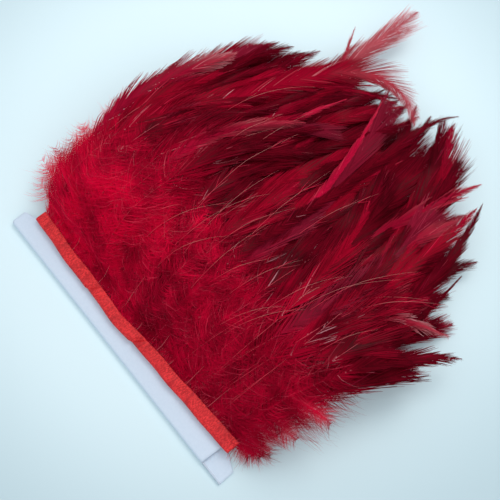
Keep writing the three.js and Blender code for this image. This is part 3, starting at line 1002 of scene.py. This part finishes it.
# feathers that stand out in the pile, each by its finish, its quill's place, its length, its headings
# there and at its tip, and its width
standingColumns = ("finish", "rootX", "length", "start", "end", "wide")
standingOut = [
    ("dark", -55, 137, -13, 12, 0.8),
    ("wisp", -64, 119, -19, 21, 1, {"looseness": 0.5}),
    ("wisp", -4, 177, -2, -33, 0.5, {"looseness": 0.6, "level": 2.4, "rise": 4.4}),
    ("mauve", 19, 157, -1, -23, 1, {"taperStart": 0.85}),
    ("glow", 16, 155, -1, -23, 0.45),
    ("mauve", -47, 140, -7, 55, 0.8, {"taperStart": 0.8}),
    ("pale", 28, 160, 1, 17, 0.9),
    ("dark", 64, 153, 9, -23, 0.6),
    ("dark", 48, 174, 7, -40, 1, {"taperStart": 0.8}),
    ("bright", 55, 175, 8, -44, 1, {"taperStart": 0.8}),
    ("dark", 43, 160, 6, -17, 1, {"taperStart": 0.8}),
    ("glow", -27, 86, -1, -54, 0.32),
    ("glow", -33, 97, -4, -8, 0.4),
    ("glow", -31, 142, -5, 19, 0.4),
    ("pale", 37, 139, 2, 15, 0.9),
    ("blush", -27, 95, -4, -5, 0.35),
    ("dark", -37, 165, -5, 34, 0.8),
    ("bright", -31, 165, -4, 34, 0.8),
    ("dark", -25, 161, -1, 32, 0.8),
    ("bright", -58, 179, -10, 66, 0.6),
    ("bright", -39, 164, -5, 25, 0.8),
    ("wisp", 33, 120, 7, 64, 0.6, {"looseness": 0.5}),
    ("dark", 64, 122, 12, -8, 0.3),
    ("dark", -51, 174, -7, 53, 0.8),
    ("bright", -50, 165, -8, 44, 0.7),
]
standing = {**plain, "power": 1.6, "level": 4.6, "rise": 2.1, "own": 0.9, "downiness": 0}
finishTones = {"blush": "pale", "wisp": "pale", "glow": "bright"}

for i, row in enumerate(standingOut):
    feather = {**standing, "index": 500 + i, **dict(zip(standingColumns, row))}
    if len(row) > len(standingColumns):
        feather.update(row[-1])
    finish = feather["finish"]
    addPlumes("feather_top_%02d" % (i + 1), [feather], finish, finishTones.get(finish, finish),
              {**overlayValues, "Vane Steps": 3, "Seed": 700 + i})
print("feathers that stand out done, triangles:", sum(triangleCounts))


# bare quills that show over the down beside the ribbon: place along it, length, heading
bareShaft = {**plain, "own": 0.1, "downiness": 0, "bare": True}
bareQuills = [(-25, 14, -6), (-10, 22, -1), (2, 10, -3), (14, 14, 2), (22, 9, 5), (33, 16, 3), (46, 18, 6),
              (54, 8, 12), (-44, 12, -8)]
quillTubes = [{**bareShaft, "rootX": x, "level": 5.6, "index": 980 + i, "length": length, "start": turn,
               "end": turn + 2, "power": 1, "wide": 1, "fullness": 0}
              for i, (x, length, turn) in enumerate(bareQuills)]

# shafts that show as thin pale lines over the vanes, with a few barbs left on them
shownShafts = {"count": 26, "x": (-50, 62), "y": (24, 92), "levels": (5.8, 6.6), "length": (24, 58),
               "wander": 9, "seed": 36}
dice = random.Random(shownShafts["seed"])
shown = []
for i in range(shownShafts["count"]):
    x = mix(*shownShafts["x"], (i + dice.random()) / shownShafts["count"])
    turn = dice.uniform(-1, 1) * shownShafts["wander"]
    shown.append({
        **bareShaft, "rootX": x, "rootY": dice.uniform(*shownShafts["y"]),
        "level": dice.uniform(*shownShafts["levels"]), "index": 1100 + i,
        "length": dice.uniform(*shownShafts["length"]),
        "start": across(strip["startAngle"], sideShare(x)) + turn,
        "end": across(strip["endAngle"], sideShare(x)) + 2 * turn + 8,
        "power": 1.3, "wide": 0.42, "downEnd": -60, "fullness": 0.04})
addPlumes("shafts_over_vanes", shown, "quill", "pale",
          {**overlayValues, "Vane Barb Width": 0.24 * mm, "Shaft Size": 0.58, "Seed": 640})
print("shafts over the vanes done, triangles:", sum(triangleCounts))


# loose down over the pile, in short tufts that lie every way
tuft = {**plain, "power": 1, "downEnd": 999, "isTuft": True}  # down to its very tip
tufts = {"bunches": ("bright", "dark", "bright"), "inBunch": 40, "x": (-68, 72), "y": (9, 46),
         "levels": (4.9, 6), "length": (13, 22), "turn": 75, "curve": 30, "seed": 21}
tuftValues = {**overlayValues, "Down Spacing": 0.18 * mm, "Down Barb Width": 0.16 * mm, "Down Curl": 4.5 * mm,
              "Down Steps": 3}
dice = random.Random(tufts["seed"])
besideRibbon = [{
    **tuft, "rootX": x, "rootY": ribbonFold(x) + 3.7 + 0.5 * vary(i, 6), "level": 1 + i % 3,
    "index": 1200 + i, "length": 11 + 2 * vary(i, 7), "start": 25 * vary(i, 8), "end": 25 * vary(i, 9),
    "wide": 0.8, "own": (1 + vary(i, 10)) / 2} for i, x in enumerate(np.linspace(-62, 59, 44).tolist())]
besideRibbon += [{
    **tuft, "rootX": 64.5 + 2 * i, "rootY": 10.5 + i, "level": 1.5, "index": 1260 + i, "length": 9 + i,
    "start": 104 - 14 * i, "end": 84 - 14 * i, "wide": 0.7, "own": 0.4} for i in range(3)]
for bunch, tone in enumerate(tufts["bunches"]):
    loose = [list(quillTubes), list(besideRibbon), []][bunch]
    for i in range(tufts["inBunch"]):
        x = dice.uniform(*tufts["x"])
        heading = across(strip["startAngle"], sideShare(x)) + dice.uniform(-1, 1) * tufts["turn"]
        loose.append({
            **tuft, "rootX": x, "rootY": dice.uniform(*tufts["y"]), "level": dice.uniform(*tufts["levels"]),
            "index": 900 + i, "length": dice.uniform(*tufts["length"]), "start": heading,
            "end": heading + dice.uniform(-tufts["curve"], tufts["curve"]), "wide": 1, "own": dice.random()})
    addPlumes("down_tufts_%d" % (bunch + 1), loose, tone, tone,
              {**tuftValues, "Shaft Size": 1.3, "Seed": 800 + bunch})

# pale wisps all along the outer edge at the left
wisps = {"count": 22, "y": (15, 70), "heading": [(15, -92), (60, -62), (70, -50)], "length": (10, 15),
         "inset": 2.5, "turn": 14, "curve": 12}
fringe = []
for i, y in enumerate(np.linspace(*wisps["y"], wisps["count"]).tolist()):
    heading = along(wisps["heading"], y) + wisps["turn"] * vary(i, 11)
    fringe.append({
        **tuft, "rootX": along(leftEdge, y) + wisps["inset"], "rootY": y, "level": 2.2, "index": 1300 + i,
        "looseness": 0, "length": mix(*wisps["length"], (1 + vary(i, 12)) / 2),
        "start": heading - wisps["curve"], "end": heading + wisps["curve"],
        "wide": 1.1, "own": 0.3, "downiness": 0.3})
addPlumes("down_fringe", fringe, "fringe", "pale", {
    **tuftValues, "Down Barb Width": 0.19 * mm, "Down Curl": 1.2 * mm, "Down Frizz": 0.7 * mm, "Seed": 870})
print("loose down done, triangles:", sum(triangleCounts))


# ribbon and card

# a surface through rows of (x, y, z) in millimetres, all of one length, as a leaf of one thickness
def leafPiece(name, rows, leaf, turned=False):
    count = len(rows[0])
    points = [Vector(p) * mm for row in rows for p in row]
    faces = []
    for r in range(len(rows) - 1):
        for i in range(count - 1):
            a, b = r * count + i, r * count + i + 1
            faces.append((a, a + count, b + count, b) if turned else (a, b, b + count, a + count))
    mesh = bpy.data.meshes.new(name)
    mesh.from_pydata(points, [], faces)
    piece = addObject(name, mesh)
    solidify = piece.modifiers.new("leaf", "SOLIDIFY")
    solidify.thickness = leaf * mm
    solidify.offset = -1
    return piece


# the points of a fold, from just past its lower leaf to just before its upper one
def halfTurn(y, z, radius):
    angles = [-math.pi / 2 - math.pi * i / 12 for i in range(1, 12)]
    return [(y + radius * math.cos(a), z + radius * math.sin(a)) for a in angles]


ribbonBand = {
    "underside": 2.9,
    "height": 2.8,
    "leaf": 0.5,
    "columns": 300,
    "puckers": 34,
    "pucker": 0.42,
    "edgeWave": 0.05,
    "creases": [(-26.3, 0.45), (4.4, 0.6)],  # place along it, shift of the fold
}


def pick(seed, low, high):
    return random.Random(seed).uniform(low, high)


def ribbonRows():
    band = ribbonBand
    rows = []
    low, high = band["underside"], band["underside"] + band["height"]
    middle, half = (low + high) / 2, band["height"] / 2
    # puckers and creases, as place along the ribbon, width and strength
    waves = [(pick(3 + i, -66, 66), pick(40 + i, 1.2, 3.4), pick(90 + i, -1, 1))
             for i in range(band["puckers"])]
    waves += [(at, 0.9, -1.6) for at, _ in band["creases"]]
    waves += [(at + 2, 1.3, 1.4) for at, _ in band["creases"]]
    for c in range(band["columns"] + 1):
        x = strip["length"] * (c / band["columns"] - 0.5)
        fold, width = ribbonFold(x), ribbonWidth(x)
        for at, shift in band["creases"]:
            nudge = shift * (math.exp((at - x) / 11) if x > at else ease(at - 1.6, at, x))
            fold, width = fold + nudge, width - nudge
        profile = [(mix(fold + width, fold + half, i / 14), low) for i in range(15)]
        profile += halfTurn(fold + half, middle, half)
        profile += [(mix(fold + half, fold + width, i / 30), high) for i in range(31)]
        row = []
        for y, z in profile:
            share = clamp((y - fold) / width)
            pucker = sum(s * math.exp(-(((x - at) - 0.5 * (y - fold)) / w) ** 2) for at, w, s in waves)
            crown = math.sin(math.pi * clamp(0.15 + share * 0.8))
            lift = band["pucker"] * pucker * crown if z > middle else 0
            row.append((x, y + band["edgeWave"] * math.sin(x * 2.1) * (z > middle), z + lift))
        rows.append(row)
    return rows


cardFold = {
    "left": -73.5, "right": 74, "foldY": -6.2, "openY": 6, "leaf": 0.65, "height": 2.5, "upperLeafEnd": 63,
    "upperSlant": 0.05,
    "rightCorners": [(-1, 13), (1.6, 6.5), (4.4, 0.3), (13.2, 0)],
    "leftCorners": [(-1, 13), (2.4, 6.5), (4.8, 0), (11.2, 0), (13.2, 1.4)],
    "columns": 120,
}


def cardRows():
    card = cardFold
    half = card["height"] / 2
    turnY = card["foldY"] + half
    profile = [(mix(card["openY"], turnY, i / 24), 0) for i in range(25)]
    profile += halfTurn(turnY, half, half)
    profile += [(mix(turnY, card["openY"], i / 24), card["height"]) for i in range(25)]
    rows = []
    for i, (y, z) in enumerate(profile):
        inset = card["openY"] - y
        left = card["left"] + along(card["leftCorners"], inset)
        right = card["upperLeafEnd"] - card["upperSlant"] * inset
        if i < 30:  # the lower leaf, up to the middle of the fold
            right = card["right"] - along(card["rightCorners"], inset)
        rows.append([(mix(left, right, c / card["columns"]), y, z) for c in range(card["columns"] + 1)])
    return rows


satinFinish = {
    "weaveScale": 2300.0,
    "weave": [(0.48, 0.009, 0.013, 1), (0.84, 0.029, 0.034, 1)],
    "blotchScale": 160.0,
    "blotch": (0.56, 0.012, 0.018, 1),
    "blotchShare": 0.4,
    # painted shade in the ribbon's creases and puckers, as dark streaks across it
    "creaseShadeScale": 300.0,
    "fold": (0.36, 0.005, 0.011, 1),
    "creaseShadeShare": 0.5,
    "bump": 0.55,
    "bumpHeight": 0.0002,
}


def satinMaterial():
    satin = satinFinish
    material, tree, shader = newMaterial("red_satin", {"Roughness": 0.45, "Specular IOR Level": 0.25})
    place = step(tree, "ShaderNodeTexCoord", None, "Object")
    weave = noise(tree, place * (1, 0.4, 1), satin["weaveScale"], 1.0)
    blotch = noise(tree, place, satin["blotchScale"], 2.0)
    fold = noise(tree, place * (1, 0.3, 0.3), satin["creaseShadeScale"], 1.0)
    colour = blendColour(tree, smooth(tree, weave, 0.34, 0.66), *satin["weave"])
    blotched = smooth(tree, blotch, 0.45, 0.7) * satin["blotchShare"]
    colour = blendColour(tree, blotched, colour, satin["blotch"])
    # painted crease shade
    creaseShade = smooth(tree, fold, 0.52, 0.7) * satin["creaseShadeShare"]
    colour = blendColour(tree, creaseShade, colour, satin["fold"])
    plug(tree, shader.inputs["Base Color"], colour)
    bump = step(tree, "ShaderNodeBump", None, "Normal",
                Strength=satin["bump"], Distance=satin["bumpHeight"], Height=weave)
    plug(tree, shader.inputs["Normal"], bump)
    return material


paperFinish = {"fibreScale": 900.0, "fibre": [(0.57, 0.655, 0.76, 1), (0.645, 0.72, 0.825, 1)]}


def paperMaterial():
    material, tree, shader = newMaterial("white_card", {"Roughness": 0.7, "Specular IOR Level": 0.3})
    place = step(tree, "ShaderNodeTexCoord", None, "Object")
    fibre = noise(tree, place, paperFinish["fibreScale"], 3.0)
    plug(tree, shader.inputs["Base Color"], blendColour(tree, fibre, *paperFinish["fibre"]))
    return material


ribbonPiece = leafPiece("ribbon_satin", ribbonRows(), ribbonBand["leaf"], turned=True)
cardPiece = leafPiece("card_folded", cardRows(), cardFold["leaf"])
for piece, material, node in ((ribbonPiece, satinMaterial(), "ribbon"), (cardPiece, paperMaterial(), "card")):
    piece.data.materials.append(material)
    piece.data.polygons.foreach_set("use_smooth", [True] * len(piece.data.polygons))
    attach(piece, "root")
    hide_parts(node)
print("ribbon and card done")


# floor, light and camera

room = {
    "floor": [(-1.5, -1.5), (1.5, -1.5), (1.5, 1.5), (-1.5, 1.5)],
    "floorZ": -0.0001,
    # painted pool of light: the table is lighter round the feathers and darker further out
    "near": (0.735, 0.865, 0.9, 1),  # the table is lighter round the feathers
    "far": (0.49, 0.605, 0.645, 1),
    "lightMiddle": (-0.029, 0.082, 0),
    "lightEdge": (0.09, 0.19),
    "sky": (0.88, 0.95, 1.0, 1),
    "skyStrength": 0.89,
    "lightsAim": (0, 0.08, 0),
}

floorMesh = bpy.data.meshes.new("floor")
floorMesh.from_pydata([(x, y, room["floorZ"]) for x, y in room["floor"]], [], [(0, 1, 2, 3)])
floor = addObject("floor", floorMesh)
floorMaterial, floorTree, floorShader = newMaterial("pale_table", {
    "Roughness": 0.8, "Specular IOR Level": 0.2})
place = step(floorTree, "ShaderNodeTexCoord", None, "Object")
away = sumOf(floorTree, "DISTANCE", place, room["lightMiddle"])
colour = blendColour(floorTree, smooth(floorTree, away, *room["lightEdge"]), room["near"], room["far"])
plug(floorTree, floorShader.inputs["Base Color"], colour)
floorMesh.materials.append(floorMaterial)

world = bpy.data.worlds.new("room")
world.use_nodes = True
world.node_tree.nodes["Background"].inputs["Color"].default_value = room["sky"]
world.node_tree.nodes["Background"].inputs["Strength"].default_value = room["skyStrength"]
bpy.context.scene.world = world
bpy.context.scene.view_settings.view_transform = "Standard"
bpy.context.scene.view_settings.look = "None"

lights = {
    "windowLight": {"place": (-0.08, 0.62, 0.72), "size": 0.5, "power": 2.75, "colour": (1, 0.985, 0.97)},
    "roomLight": {"place": (0.3, 0.3, 1.3), "size": 1.2, "power": 1.2, "colour": (0.97, 0.99, 1)},
}
for name, light in lights.items():
    lamp = bpy.data.lights.new(name, "AREA")
    lamp.shape = "DISK"
    lamp.size = light["size"]
    lamp.energy = light["power"]
    lamp.color = light["colour"]
    made = addObject(name, lamp)
    made.location = light["place"]
    towards = Vector(room["lightsAim"]) - Vector(light["place"])
    made.rotation_euler = towards.to_track_quat("-Z", "Y").to_euler()

seenFrom = {"place": (102.48, -13.19, 394.05), "lookAt": (5.53, 66.40, 8), "sensor": 36, "halfAngle": 15}
camera = bpy.data.cameras.new("camera")
camera.sensor_width = seenFrom["sensor"]
camera.lens = seenFrom["sensor"] / 2 / math.tan(math.radians(seenFrom["halfAngle"]))
camera.clip_start = 0.01
camera.clip_end = 20
camera.dof.use_dof = False
cameraObject = addObject("camera", camera)
cameraObject.location = Vector(seenFrom["place"]) * mm
towards = Vector(seenFrom["lookAt"]) * mm - cameraObject.location
cameraObject.rotation_euler = towards.to_track_quat("-Z", "Y").to_euler()
bpy.context.scene.camera = cameraObject

print("triangles of barbs and shafts:", sum(triangleCounts))
